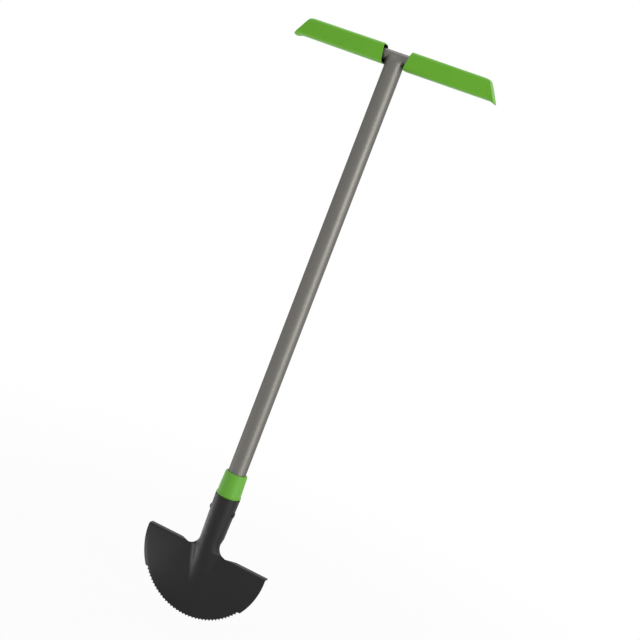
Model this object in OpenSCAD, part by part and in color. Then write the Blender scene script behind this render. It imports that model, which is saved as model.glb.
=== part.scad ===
// Half moon edger: a pressed steel half-moon head with foot treads and a rolled socket,
// a straight steel tube, and a T handle with two moulded grips.
// Frame: +Z up along the shaft, X along the handle, the front of the blade towards -Y.
// The origin is on the shaft's axis, level with the lowest tooth of the half moon.

/* [Blade] */
// Radius of the half-moon cutting edge
blade_radius = 107; // [95:1:120]
// Height of the tread tops above the centre of the half moon
tread_rise = 6; // [4:0.5:12]
// Thickness of the steel sheet
sheet = 2; // [1.5:0.1:2.5]
// Distance of the blade's front face ahead of the shaft's axis
blade_set = 3; // [2:0.5:6]
// Width of the bevel ground on the front of the cutting edge
bevel_width = 6; // [3:0.5:9]
// Thickness that the bevel leaves at the cutting edge
edge_land = 0.9; // [0.4:0.1:1.2]
// Number of scallops in the cutting edge
scallop_count = 34; // [16:2:40]
// Angle of the cutting edge that is scalloped
scallop_span = 109; // [60:1:130]
// Depth of a scallop
scallop_depth = 2; // [1:0.1:2.4]
// Width of the tip that is left between two scallops
tooth_tip = 0.8; // [0.4:0.1:1.2]
// How far the tips are set back from the plain ends of the edge
tooth_set = 1.7; // [0.5:0.1:3]

/* [Treads] */
// Depth of a tread from the blade's front face to the tread's back edge
tread_depth = 12; // [9:0.5:20]
// Outer radius of the bend between the blade and a tread
bend_radius = 3; // [3:0.1:5]
// Distance between the treads' inner corners at their back edge
tread_gap = 99; // [92:1:130]
// Radius of a tread's outer back corner
tread_corner = 4; // [1:0.5:6]

/* [Frog and socket] */
// Outer radius of the socket at its mouth
socket_mouth_r = 20.5; // [19.8:0.1:24]
// Outer radius of the socket where it meets the blade
socket_root_r = 18.6; // [17.8:0.1:20]
// Length of the socket above the neck
socket_length = 76; // [68:1:110]
// Radius of the fillets between the socket and the treads
neck_fillet = 18; // [14:1:26]
// Length of the frog, the hollow ridge below the neck
frog_length = 83; // [60:1:92]
// Half width of the frog at its foot
frog_foot_half = 8; // [4:0.5:12]
// Half width of the pressed panel that carries the frog
panel_half = 24; // [22:0.5:28]
// Length over which the socket's wings close behind the shaft
roll_length = 30; // [20:1:45]
// Width of the open seam at the back of the socket
seam_gap = 2; // [1:0.1:4]

/* [Shaft] */
// Outer diameter of the shaft tube
shaft_diameter = 29; // [26:0.5:29.5]
// Wall of the shaft tube
shaft_wall = 1.2; // [0.8:0.1:2.5]
// Height of the handle's axis above the lowest tooth
handle_height = 929.6; // [700:0.1:1100]
// Length of the shaft that is hidden below the socket's mouth
shaft_insert = 62; // [50:1:72]

/* [Collar] */
// Height of the collar above the socket's mouth
collar_height = 40; // [25:1:60]
// Radius of the collar's foot lip
collar_lip_r = 20.5; // [20:0.1:24]
// Height of the collar's foot lip
collar_lip_height = 3; // [2:0.1:6]
// Chamfer under the foot lip
collar_chamfer = 1; // [0.4:0.1:1.4]
// Radius of the collar just above its lip
collar_base_r = 19.5; // [18.8:0.1:23]
// Radius of the collar below its rounded top
collar_top_r = 18.1; // [17.4:0.1:22]
// Radius of the collar's rounded top edge
collar_round = 2.9; // [1:0.1:3.1]
// Length of the spigot that packs the shaft in the socket
spigot_length = 45; // [36:1:60]

/* [Rivet] */
// Distance of the rivet below the socket's mouth
rivet_drop = 25; // [15:0.5:30]
// Diameter of the rivet's shank
rivet_diameter = 5.5; // [4:0.1:7]
// Diameter of the domed head
rivet_head_diameter = 9.5; // [8:0.1:12]
// Height of the domed head
rivet_head_height = 2.7; // [1.5:0.1:3.5]
// Height of the flatter head that closes the rivet
rivet_tail_height = 1.5; // [1:0.1:2.5]

/* [Handle] */
// Outer diameter of the cross tube
cross_diameter = 17.5; // [16:0.5:20.5]
// Wall of the cross tube
cross_wall = 1.5; // [0.8:0.1:2.5]
// Length of the cross tube
cross_length = 286; // [200:1:292]
// How far the weld runs down the shaft below the cross tube
weld_drop = 5; // [2:0.1:8]
// How far the weld stands out from the shaft
weld_lap = 0.8; // [0.5:0.1:1.5]
// Radius of the weld's hollow face
weld_fillet = 7.8; // [6.5:0.1:9]

/* [Grips] */
// Length over the lower tips of both grips
grip_span = 335; // [320:1:400]
// Distance between the grips at the cross tube's axis
grip_gap = 41; // [36:1:60]
// Height of a grip
grip_height = 29.6; // [28.6:0.1:36]
// Depth of a grip from front to back
grip_depth = 26; // [24.5:0.5:32]
// Radius of a grip's long edges
grip_corner = 6.5; // [5:0.5:11]
// Wall of a grip
grip_wall = 1.6; // [1.2:0.1:2.5]
// How much less a grip reaches above and below the axis at its outer end
grip_taper = 0.4; // [0:0.1:0.8]
// Slant of the outer end from upright
outer_slant = 31; // [10:0.5:35]
// Slant of the inner end from upright
inner_slant = 10.5; // [0:0.5:14]
// Drop of the lip under a grip's outer end
lip_drop = 3; // [0:0.1:4]
// Fall of a grip's top towards its outer end
crest_drop = 1.2; // [0:0.1:2.5]
// Length over which the lip and the top curve down
lip_length = 14; // [8:0.5:24]
// Radius of the edges at a grip's ends
grip_edge = 1.2; // [0.4:0.1:1.8]
// Length of the open mouth before the ribs start
mouth_depth = 12; // [6:0.5:20]
// Thickness of the ribs that hold the cross tube
rib_thickness = 2; // [1:0.1:4]

/* [Hidden] */

// Gap left between pieces that seat on each other
clearance = 0.1;
// Extra gap between the collar's spigot and the socket's flat-sided inside
spigot_clearance = 0.15;
// How far a cut runs past the face that it opens
overrun = 1;
// How far a tread's outer end stays inside the cutting edge
tread_end_set = 0.5;
// Thickness of the weld at its lower edge
weld_toe = 0.3;
// How far the pressed panel reaches below the frog's foot
panel_margin = 2;
// How far a rivet head's blank starts inside the socket's wall
rivet_bite = 1;
// Height of the rounded shoulder over the straight rim of a rivet head
rivet_rim = 0.5;
// Rise of the frog's front line per length at its foot and at its top
frog_slope_shares = [0.08, 0.024];
// Share of each flank's double curve that is the rounded crown
crown_share = 0.62;
// Cells across the pressing, and rows along the frog, the neck and the closing wings
strip_cells = 40;
frog_rows = 11;
neck_rows = 4;
roll_rows = 6;
// Cells of a grip's rounded corner, rows of its lip and steps of a rounded edge
corner_cells = 8;
lip_rows = 5;
edge_rows = 3;
arc_cells = 12;
// Facets of a round surface in the preview
$fn = 96;

shaft_r = shaft_diameter / 2;
cross_r = cross_diameter / 2;
rivet_r = rivet_diameter / 2;
rivet_head_r = rivet_head_diameter / 2;
tip_r = blade_radius - tooth_set;
// The half moon's centre lies as high as its lowest tooth reaches down
blade_centre_z = tip_r;
tread_top_z = blade_centre_z + tread_rise;
bend_z = tread_top_z - bend_radius;
neck_z = tread_top_z + neck_fillet;
mouth_z = neck_z + socket_length;
roll_z = neck_z + roll_length;
frog_z = neck_z - frog_length;
panel_low_z = frog_z - panel_margin;
rivet_z = mouth_z - rivet_drop;
shaft_low_z = mouth_z - shaft_insert;
shaft_top_z = handle_height - cross_r - clearance;
blade_front_y = -blade_set;
blade_back_y = sheet - blade_set;
tread_back_y = tread_depth - blade_set;
tread_end_x = sqrt(pow(blade_radius, 2) - pow(bend_z - blade_centre_z, 2)) - tread_end_set;
// Half width of the socket's root where it crosses the plane of the blade's front
root_half = sqrt(pow(socket_root_r, 2) - pow(blade_set, 2));
root_angle = atan2(root_half, blade_set);
neck_centre_x = root_half + neck_fillet;
// Run along X of a tread's slanted inner end per depth, from the end of the neck's fillet
tread_run_share = (tread_gap / 2 - neck_centre_x) / (tread_depth - bend_radius);
// Height at which the neck's edge crosses the side of the pressed panel
panel_z = neck_z - sqrt(pow(neck_fillet, 2) - pow(neck_centre_x - panel_half, 2));
scallop_pitch = tip_r * scallop_span / scallop_count * PI / 180;
scallop_chord = scallop_pitch - tooth_tip;
scallop_r = (pow(scallop_chord / 2, 2) + pow(scallop_depth, 2)) / (2 * scallop_depth);
grip_half = grip_height / 2;
outer_lean = tan(outer_slant);
inner_lean = tan(inner_slant);
// Where the ends of a grip cross the axis of the cross tube
grip_in_x = grip_gap / 2;
grip_out_x = grip_span / 2 - (grip_half - grip_taper + lip_drop) * outer_lean;

function mix(a, b, t) = a + (b - a) * t;
function ease(t) = t * t * (3 - 2 * t);
function socket_r(z) = mix(socket_root_r, socket_mouth_r, (z - neck_z) / socket_length);
function spigot_r(z) = socket_r(z) - sheet - spigot_clearance;
// Half width of the neck at height z, along its fillet
function neck_half(z) = neck_centre_x - sqrt(pow(neck_fillet, 2) - pow(neck_z - z, 2));

// Height of the frog's front line ahead of the blade's front face, a smooth run from the
// blade to the socket
function frog_height(z) =
    let (t = (z - frog_z) / frog_length, top = socket_root_r - blade_set)
    ease(t) * top
    + t * pow(1 - t, 2) * frog_slope_shares[0] * frog_length
    - t * t * (1 - t) * frog_slope_shares[1] * frog_length;

// A row of the pressing: height, crown radius, foot fillet radius, angle of both arcs,
// height of the crown, half width at the foot and half width at the edge.
// The two arcs meet in one tangent, so their radii add up to the flank's double curve.
function ridge_row(z, h, foot, edge, share) =
    let (both = (foot * foot + h * h) / (2 * h))
    [z, share * both, (1 - share) * both, atan2(foot, both - h), h, foot, edge];
function flat_row(z) = [z, 0, 0, 0, 0, 0, panel_half];
function frog_row(t) =
    let (z = mix(frog_z, panel_z, t), foot = mix(frog_foot_half, panel_half, t))
    ridge_row(z, frog_height(z), foot, panel_half, crown_share);
function neck_row(t) =
    let (z = mix(panel_z, neck_z, t), half = neck_half(z))
    ridge_row(z, frog_height(z), half, half, mix(crown_share, 1, t));
// Rows of the rolled socket are one arc that reaches round to the edge of the wings
function tube_row(z, angle) =
    let (r = socket_r(z))
    [z, r, 0, angle, r - blade_set, 0, 0];
function seam_angle(z) = 180 - asin(seam_gap / 2 / socket_r(z));
function roll_row(t) =
    let (z = mix(neck_z, roll_z, t))
    tube_row(z, mix(root_angle, seam_angle(z), ease(t)));

// A point of the pressing: s runs from -1 at the left edge to 1 at the right edge, and
// inset is the depth below the front face
function strip_point(row, s, inset) =
    let (
        crown_length = row[1] * row[3] * PI / 180,
        arc_length = (row[1] + row[2]) * row[3] * PI / 180,
        reach = abs(s) * (arc_length + row[6] - row[5]),
        on_crown = reach <= crown_length,
        on_arc = reach <= arc_length && row[3] > 0,
        a = !on_arc ? 0
            : on_crown ? reach / row[1] * 180 / PI
            : row[3] - (reach - crown_length) / row[2] * 180 / PI,
        p = !on_arc ? [row[5] + reach - arc_length, 0]
            : on_crown ? [row[1] * sin(a), row[4] - row[1] * (1 - cos(a))]
            : [row[5] - row[2] * sin(a), row[2] * (1 - cos(a))]
    )
    [sign(s) * (p[0] - inset * sin(a)), blade_front_y - p[1] + inset * cos(a), row[0]];
function strip_side(row, inset) =
    [for (i = [0:strip_cells]) strip_point(row, 2 * i / strip_cells - 1, inset)];
function strip_ring(row) =
    let (front = strip_side(row, 0), back = strip_side(row, sheet))
    concat(front, [for (i = [strip_cells:-1:0]) back[i]]);

// A solid through rings of equally many points, from the first ring to the last.
// Each end is closed by a ladder between the two halves of its ring.
module loft(rings) {
    n = len(rings[0]);
    top = (len(rings) - 1) * n;
    sides = [for (i = [0:len(rings) - 2], j = [0:n - 1])
        let (a = i * n + j, b = i * n + (j + 1) % n)
        each [[a, a + n, b + n], [a, b + n, b]]];
    rungs = [for (j = [0:n / 2 - 2])
        each [[j, j + 1, n - 2 - j], [j, n - 2 - j, n - 1 - j]]];
    lids = [for (t = rungs) [top + t[2], top + t[1], top + t[0]]];
    polyhedron([for (r = rings) each r], concat(sides, rungs, lids), convexity = 10);
}

// A cylinder along X, centred on the shaft's axis
module cross_bar(r, length, z) {
    translate([0, 0, z])
        rotate([0, 90, 0])
            cylinder(r = r, h = length, center = true);
}

// Extrudes an outline drawn in X and Z from the blade's front face to its back face
module as_sheet() {
    translate([0, blade_back_y, 0])
        rotate([90, 0, 0])
            linear_extrude(sheet)
                children();
}

// The web of the neck between the pressed panel and the tread, under the fillet's arc
module neck_web() {
    low = bend_z - bend_radius;
    first = asin((neck_centre_x - panel_half) / neck_fillet);
    arc = [for (i = [0:arc_cells])
        let (a = first * (1 - i / arc_cells))
        [neck_centre_x - neck_fillet * sin(a), neck_z - neck_fillet * cos(a)]];
    polygon(concat(arc, [[neck_centre_x, low], [panel_half, low]]));
}

// Outline of the flat blade, with the place of the pressed panel left open
module blade_outline() {
    difference() {
        union() {
            intersection() {
                translate([0, blade_centre_z])
                    circle(r = blade_radius, $fn = 360);
                translate([-blade_radius, bend_z - 2 * blade_radius])
                    square(2 * blade_radius);
            }
            neck_web();
            mirror([1, 0])
                neck_web();
        }
        translate([-panel_half, panel_low_z])
            square([2 * panel_half, neck_z]);
    }
}

// The bend and the foot rest at the top of the blade, cut to its plan
module tread() {
    back = tread_back_y - tread_corner;
    intersection() {
        rotate([90, 0, 90])
            linear_extrude(blade_radius)
                tread_section();
        translate([0, 0, bend_z])
            linear_extrude(bend_radius)
                union() {
                    polygon([[neck_centre_x - bend_radius * tread_run_share, blade_front_y],
                        [tread_end_x, blade_front_y],
                        [tread_end_x, back], [tread_end_x - tread_corner, back],
                        [tread_end_x - tread_corner, tread_back_y], [tread_gap / 2, tread_back_y]]);
                    translate([tread_end_x - tread_corner, back])
                        circle(r = tread_corner);
                }
    }
}

// Section of a tread in Y and Z: a quarter bend and a level flange
module tread_section() {
    bend_y = blade_front_y + bend_radius;
    translate([bend_y, bend_z])
        intersection() {
            difference() {
                circle(r = bend_radius);
                circle(r = bend_radius - sheet);
            }
            translate([-bend_radius, 0])
                square(bend_radius);
        }
    translate([bend_y, tread_top_z - sheet])
        square([tread_back_y - bend_y, sheet]);
}

// The pressed panel, frog and rolled socket: one strip of sheet from the blade to the mouth
module pressing() {
    frog = [for (i = [1:frog_rows]) frog_row(i / frog_rows)];
    neck = [for (i = [1:neck_rows]) neck_row(i / neck_rows)];
    roll = [for (i = [1:roll_rows]) roll_row(i / roll_rows)];
    mouth = tube_row(mouth_z, seam_angle(mouth_z));
    rows = concat([flat_row(panel_low_z), flat_row(frog_z)], frog, neck, roll, [mouth]);
    loft([for (r = rows) strip_ring(r)]);
}

// What the grinding wheel takes off the front of the cutting edge
module edge_bevel() {
    depth = sheet - edge_land;
    far = overrun / bevel_width;
    translate([0, blade_front_y, blade_centre_z])
        rotate([-90, 0, 0])
            rotate_extrude($fn = 360)
                polygon([[blade_radius - bevel_width, 0],
                    [blade_radius + overrun, depth * (1 + far)],
                    [blade_radius + overrun, -overrun],
                    [blade_radius - bevel_width, -overrun]]);
}

// What sets the toothed stretch of the edge back from its plain ends
module tooth_band() {
    translate([0, blade_front_y - overrun, blade_centre_z])
        rotate([-90, 0, 0])
            rotate([0, 0, 90 - scallop_span / 2])
                rotate_extrude(angle = scallop_span, $fn = 360)
                    translate([tip_r, 0])
                        square([tooth_set + overrun, sheet + 2 * overrun]);
}

module scallops() {
    step = scallop_span / scallop_count;
    for (i = [0:scallop_count - 1])
        translate([0, 0, blade_centre_z])
            rotate([0, (i + 0.5) * step - scallop_span / 2, 0])
                translate([0, 0, scallop_depth - scallop_r - tip_r])
                    rotate([90, 0, 0])
                        cylinder(r = scallop_r, h = 2 * (blade_set + overrun), center = true, $fn = 48);
}

module blade_head() {
    color("#2b2a2b") {
        difference() {
            difference() {
                difference() {
                    as_sheet()
                        blade_outline();
                    edge_bevel();
                }
                tooth_band();
            }
            scallops();
        }
        tread();
        mirror([1, 0, 0])
            tread();
        difference() {
            pressing();
            cross_bar(rivet_r + clearance, 2 * (socket_mouth_r + overrun), rivet_z);
        }
    }
}

// A rivet head along +X, before its underside is shaped to the socket
module rivet_head(height) {
    dome = height - rivet_rim;
    dome_r = (pow(rivet_head_r, 2) + pow(dome, 2)) / (2 * dome);
    seat = socket_r(rivet_z) + clearance;
    rotate([0, 90, 0]) {
        translate([0, 0, seat - rivet_bite])
            cylinder(r = rivet_head_r, h = rivet_bite + rivet_rim);
        translate([0, 0, seat + rivet_rim])
            intersection() {
                translate([0, 0, dome - dome_r])
                    sphere(r = dome_r);
                cylinder(r = rivet_head_r, h = dome);
            }
    }
}

module rivet() {
    low_z = rivet_z - rivet_head_diameter;
    high_z = rivet_z + rivet_head_diameter;
    color("#2b2a2b")
        translate([0, 0, rivet_z]) {
            cross_bar(rivet_r, 2 * socket_r(rivet_z) + rivet_rim, 0);
            difference() {
                union() {
                    rivet_head(rivet_tail_height);
                    mirror([1, 0, 0])
                        rivet_head(rivet_head_height);
                }
                translate([0, 0, low_z - rivet_z])
                    cylinder(r1 = socket_r(low_z) + clearance, r2 = socket_r(high_z) + clearance,
                        h = high_z - low_z);
            }
        }
}

// Half section of the collar in radius and height: spigot, foot lip, tapered body, round top
module collar_section() {
    bore = shaft_r + clearance;
    foot_z = mouth_z - spigot_length;
    lip_z = mouth_z + collar_lip_height;
    top_z = mouth_z + collar_height;
    arc = [for (i = [0:arc_cells])
        let (a = 90 * i / arc_cells)
        [collar_top_r - collar_round * (1 - cos(a)), top_z - collar_round * (1 - sin(a))]];
    polygon(concat(
        [[bore, foot_z], [spigot_r(foot_z), foot_z], [spigot_r(mouth_z), mouth_z],
            [collar_lip_r - collar_chamfer, mouth_z], [collar_lip_r, mouth_z + collar_chamfer],
            [collar_lip_r, lip_z], [collar_base_r, lip_z]],
        arc, [[bore, top_z]]));
}

module collar() {
    color("#5fa83a")
        difference() {
            rotate_extrude()
                collar_section();
            cross_bar(rivet_r + clearance, 2 * (socket_mouth_r + overrun), rivet_z);
        }
}

module shaft_tube() {
    length = shaft_top_z - shaft_low_z;
    color("#76726c")
        difference() {
            translate([0, 0, shaft_low_z])
                cylinder(r = shaft_r, h = length);
            translate([0, 0, shaft_low_z - overrun])
                cylinder(r = shaft_r - shaft_wall, h = length + 2 * overrun);
            cross_bar(rivet_r + clearance, 2 * (socket_mouth_r + overrun), rivet_z);
        }
}

module cross_tube() {
    color("#76726c")
        difference() {
            cross_bar(cross_r, cross_length, handle_height);
            cross_bar(cross_r - cross_wall, cross_length + 2 * overrun, handle_height);
        }
}

// The weld that closes the shaft's end against the cross tube, with a hollow face on each side
module handle_weld() {
    toe_r = shaft_r + weld_lap;
    low_z = shaft_top_z - weld_drop;
    high_z = shaft_top_z + weld_fillet - weld_lap;
    color("#6f6b66")
        difference() {
            union() {
                translate([0, 0, low_z])
                    cylinder(r1 = shaft_r + clearance + weld_toe, r2 = toe_r, h = weld_drop);
                translate([0, 0, shaft_top_z])
                    cylinder(r = toe_r, h = high_z - shaft_top_z);
            }
            for (side = [-1, 1])
                translate([0, side * (toe_r + weld_lap), high_z + weld_lap])
                    rotate([0, 90, 0])
                        cylinder(r = weld_fillet, h = 2 * (toe_r + overrun), center = true);
            translate([0, 0, low_z - overrun])
                cylinder(r = shaft_r + clearance, h = weld_drop + overrun + clearance);
            cross_bar(cross_r + clearance, 2 * (toe_r + overrun), handle_height);
        }
}

// A ring of a grip where it crosses the axis at x: lean tips the ring, up and down are its
// reach above and below the axis, and inset draws it in for a rounded edge
function grip_ring(x, lean, up, down, inset) =
    let (r = grip_corner - inset, half = grip_depth / 2 - inset)
    [for (q = [0:3], i = [0:corner_cells])
        let (
            a = 90 * (q + i / corner_cells),
            y = (q == 0 || q == 3 ? half - r : r - half) + r * cos(a),
            z = (q < 2 ? up - inset - r : r + inset - down) + r * sin(a)
        )
        [x + z * lean, y, z + handle_height]];

// Outside of the right grip, from its inner end to its slanted outer end
module grip_outside() {
    end_half = grip_half - grip_taper;
    lip_x = grip_out_x - lip_length;
    first = [for (i = [0:edge_rows])
        let (a = 90 * i / edge_rows)
        grip_ring(grip_in_x + grip_edge * (1 - cos(a)), inner_lean, grip_half, grip_half,
            grip_edge * (1 - sin(a)))];
    lip = [for (i = [0:lip_rows])
        let (t = i / lip_rows)
        grip_ring(mix(lip_x, grip_out_x - grip_edge, t), -outer_lean, end_half - crest_drop * t * t,
            end_half + lip_drop * ease(t), 0)];
    end = [for (i = [1:edge_rows])
        let (a = 90 * i / edge_rows)
        grip_ring(grip_out_x - grip_edge * (1 - sin(a)), -outer_lean, end_half - crest_drop,
            end_half + lip_drop, grip_edge * (1 - cos(a)))];
    loft(concat(first, lip, end));
}

// Outline of the hollow in a grip
module hollow_outline() {
    r = grip_corner - grip_wall;
    high = grip_half - grip_taper - grip_wall;
    deep = grip_depth / 2 - grip_wall;
    square([2 * high, 2 * (deep - r)], center = true);
    square([2 * (high - r), 2 * deep], center = true);
    for (u = [-1, 1], v = [-1, 1])
        translate([u * (high - r), v * (deep - r)])
            circle(r = r);
}

// Outline of the hollow past its mouth, where four ribs reach in to the cross tube
module ribbed_outline() {
    reach = grip_half + grip_depth;
    seat = cross_r + clearance;
    difference() {
        hollow_outline();
        for (turn = [0:3])
            rotate(90 * turn)
                translate([seat, -rib_thickness / 2])
                    square([reach, rib_thickness]);
    }
}

// Runs an outline along the handle between two places on its axis
module along_handle(from_x, to_x) {
    translate([from_x, 0, handle_height])
        rotate([0, 90, 0])
            linear_extrude(to_x - from_x)
                children();
}

module right_half_grip() {
    rib_x = grip_in_x + mouth_depth;
    reach = 2 * grip_span;
    end_x = grip_out_x - grip_wall / cos(outer_slant);
    difference() {
        grip_outside();
        along_handle(0, rib_x)
            hollow_outline();
        intersection() {
            along_handle(rib_x - overrun, grip_span)
                ribbed_outline();
            translate([end_x, 0, handle_height])
                rotate([0, -outer_slant, 0])
                    translate([-reach, -grip_depth, -grip_span])
                        cube([reach, 2 * grip_depth, 2 * grip_span]);
        }
    }
}

module right_grip() {
    color("#62b02f")
        right_half_grip();
}

module left_grip() {
    color("#62b02f")
        mirror([1, 0, 0])
            right_half_grip();
}

blade_head();
rivet();
collar();
shaft_tube();
cross_tube();
handle_weld();
left_grip();
right_grip();
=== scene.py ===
"""Half moon edger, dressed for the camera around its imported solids.

Sizes are in millimetres, as on a drawing, and every finished mesh is scaled to metres.
+Z runs up the shaft, +X along the handle, and the front of the blade looks towards -Y.
"""
import logging
import math
from dataclasses import dataclass, field
from enum import Enum

import bmesh
import bpy
from bmesh.types import BMEdge, BMesh, BMFace, BMVert
from bpy.types import Material, Node, NodeSocket, NodeTree, Object
from mathutils import Matrix, Vector


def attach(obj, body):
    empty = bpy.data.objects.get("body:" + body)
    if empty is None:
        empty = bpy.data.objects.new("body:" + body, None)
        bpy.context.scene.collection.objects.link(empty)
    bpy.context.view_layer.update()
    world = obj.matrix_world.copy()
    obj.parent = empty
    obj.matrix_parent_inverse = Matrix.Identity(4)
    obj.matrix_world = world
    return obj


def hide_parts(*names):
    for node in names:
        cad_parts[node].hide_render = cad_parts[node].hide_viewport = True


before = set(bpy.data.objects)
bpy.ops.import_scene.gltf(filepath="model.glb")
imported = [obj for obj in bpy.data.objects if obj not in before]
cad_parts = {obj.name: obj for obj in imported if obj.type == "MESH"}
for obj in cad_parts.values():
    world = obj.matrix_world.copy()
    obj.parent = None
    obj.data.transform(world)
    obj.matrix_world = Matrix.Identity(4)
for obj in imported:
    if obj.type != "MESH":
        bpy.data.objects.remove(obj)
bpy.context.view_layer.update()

log = logging.getLogger("edger")

MM = 0.001
# Distance in millimetres under which two vertices are one
WELD_DISTANCE = 0.0005
# Distance in millimetres within which two places count as the same
NEAR = 0.01
# Slack in millimetres for picking out a line of the mesh by its place
SLACK = 0.05
# Noise seldom leaves this stretch, so the gloss is spread over it
NOISE_RANGE = (0.3, 0.7)


# Small tools


def linear(colour: str) -> tuple[float, float, float, float]:
    """Turns an sRGB colour into linear light.

    Args:
        colour: Hex value such as "#62b02f".

    Returns:
        Linear red, green and blue, and an alpha of 1.
    """
    parts = [int(colour[i:i + 2], 16) / 255 for i in (1, 3, 5)]
    red, green, blue = (p / 12.92 if p <= 0.04045 else ((p + 0.055) / 1.055) ** 2.4 for p in parts)
    return red, green, blue, 1.0


def mix(a: float, b: float, t: float) -> float:
    """Returns the value a share t of the way from a to b."""
    return a + (b - a) * t


def ease(t: float) -> float:
    """Returns a smooth step of t, held between 0 and 1."""
    t = min(max(t, 0.0), 1.0)
    return t * t * (3 - 2 * t)


def per_metre(size: float) -> float:
    """Returns the texture scale whose pattern repeats about every size millimetres."""
    return 1 / (size * MM)


def add_node(tree: NodeTree, kind: str, inputs: dict[str | int, object],
             **settings: object) -> Node:
    """Adds a node to a tree.

    Args:
        tree: The tree that gets the node.
        kind: The node's type.
        inputs: For each input, by name or number, the socket it is linked from or its value.
        settings: Attributes of the node.

    Returns:
        The new node.
    """
    made = tree.nodes.new(kind)
    for name, value in settings.items():
        setattr(made, name, value)
    for key, value in inputs.items():
        if isinstance(value, NodeSocket):
            tree.links.new(value, made.inputs[key])
        else:
            made.inputs[key].default_value = value
    return made


def make_piece(bm: BMesh, name: str, materials: list[Material], sharp: float = 32.0) -> Object:
    """Turns a finished mesh in millimetres into an object in metres.

    Args:
        bm: The mesh, which is used up.
        name: Name of the object.
        materials: Its finishes, in the order of the faces' material numbers.
        sharp: Angle in degrees past which an edge is drawn sharp.

    Returns:
        The object, at the origin.
    """
    for face in bm.faces:
        face.smooth = True
    for edge in bm.edges:
        if edge.calc_face_angle(0.0) > math.radians(sharp):
            edge.smooth = False
    bmesh.ops.scale(bm, vec=(MM, MM, MM), verts=bm.verts)
    mesh = bpy.data.meshes.new(name)
    bm.to_mesh(mesh)
    bm.free()
    for material in materials:
        mesh.materials.append(material)
    piece = bpy.data.objects.new(name, mesh)
    bpy.context.scene.collection.objects.link(piece)
    # A flat keeps its own shading up to the rounded edge beside it
    piece.modifiers.new("flats_lead", "WEIGHTED_NORMAL").keep_sharp = True
    return piece


def seat(piece: Object, node: str) -> None:
    """Puts a piece on the part in place of a solid.

    Args:
        piece: The new piece.
        node: The solid that the piece stands for.
    """
    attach(piece, "root")
    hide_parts(node)
    log.info("%s stands for %s, %d faces", piece.name, node, len(piece.data.polygons))


def dress_solid(node: str, material: Material) -> None:
    """Gives a carried-over solid its finish.

    Args:
        node: Name of the solid.
        material: Its finish.
    """
    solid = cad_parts[node]
    for slot in solid.material_slots:
        slot.material = material
    log.info("%s keeps its solid, in %s", node, material.name)


# Finishes


class Run(Enum):
    """The way a tube was drawn, as the scale that stretches its streaks along it."""

    UPRIGHT = (1.0, 1.0, 0.04)
    CROSSWISE = (0.04, 1.0, 1.0)


@dataclass(frozen=True)
class Finish:
    """What all finishes share: one shader with its colour, gloss and relief."""

    name: str
    colour: str
    roughness: float
    specular: float = 0.5
    metallic: float = 0.0
    edge_tint: float = 1.0
    # How far the roughness goes below and above its mean
    swing: tuple[float, float] = (0.05, 0.05)

    def start(self) -> tuple[Material, NodeTree, Node, NodeSocket]:
        """Makes an empty material.

        Returns:
            The material, its tree, its shader and the object coordinates.
        """
        material = bpy.data.materials.new(self.name)
        material.use_nodes = True
        material.diffuse_color = linear(self.colour)
        tree = material.node_tree
        tree.nodes.clear()
        shader = add_node(tree, "ShaderNodeBsdfPrincipled", {
            "Roughness": self.roughness, "Specular IOR Level": self.specular, "IOR": 1.5,
            "Metallic": self.metallic, "Specular Tint": (*[self.edge_tint] * 3, 1.0)})
        add_node(tree, "ShaderNodeOutputMaterial", {"Surface": shader.outputs["BSDF"]})
        place = add_node(tree, "ShaderNodeTexCoord", {})
        return material, tree, shader, place.outputs["Object"]

    def dress(self, tree: NodeTree, shader: Node, second: str, shade: NodeSocket,
              gloss: NodeSocket, height: NodeSocket, depth: float) -> None:
        """Gives a shader its colours, gloss and relief.

        Args:
            tree: The material's tree.
            shader: Its shader.
            second: Colour that the first one runs into.
            shade: Pattern of the two colours.
            gloss: Pattern of the roughness.
            height: Pattern of the relief.
            depth: Depth of the relief in millimetres.
        """
        tone = add_node(tree, "ShaderNodeMix", {
            "Factor": shade, "A": linear(self.colour), "B": linear(second)}, data_type="RGBA")
        low, high = NOISE_RANGE
        sheen = add_node(tree, "ShaderNodeMapRange", {
            "Value": gloss, "From Min": low, "From Max": high,
            "To Min": self.roughness - self.swing[0], "To Max": self.roughness + self.swing[1]})
        relief = add_node(tree, "ShaderNodeBump", {
            "Height": height, "Distance": depth * MM, "Strength": 1.0})
        tree.links.new(tone.outputs["Result"], shader.inputs["Base Color"])
        tree.links.new(sheen.outputs["Result"], shader.inputs["Roughness"])
        tree.links.new(relief.outputs["Normal"], shader.inputs["Normal"])


@dataclass(frozen=True)
class PowderCoat(Finish):
    """Black polyester powder, sprayed and baked on pressed steel.

    It gives the eye a satin black with a soft orange peel, and clouds of slightly thinner coat.
    """

    swing: tuple[float, float] = (0.04, 0.05)
    thin_colour: str = "#201e1e"
    peel_size: float = 1.4
    peel_depth: float = 0.022
    cloud_size: float = 34.0

    def material(self) -> Material:
        """Makes the material.

        Returns:
            The powder coat.
        """
        material, tree, shader, place = self.start()
        cloud = add_node(tree, "ShaderNodeTexNoise", {
            "Vector": place, "Scale": per_metre(self.cloud_size), "Detail": 3.0})
        peel = add_node(tree, "ShaderNodeTexNoise", {
            "Vector": place, "Scale": per_metre(self.peel_size), "Detail": 2.0, "Roughness": 0.4})
        self.dress(tree, shader, self.thin_colour, cloud.outputs["Fac"], cloud.outputs["Fac"],
                   peel.outputs["Fac"], self.peel_depth)
        return material


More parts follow.
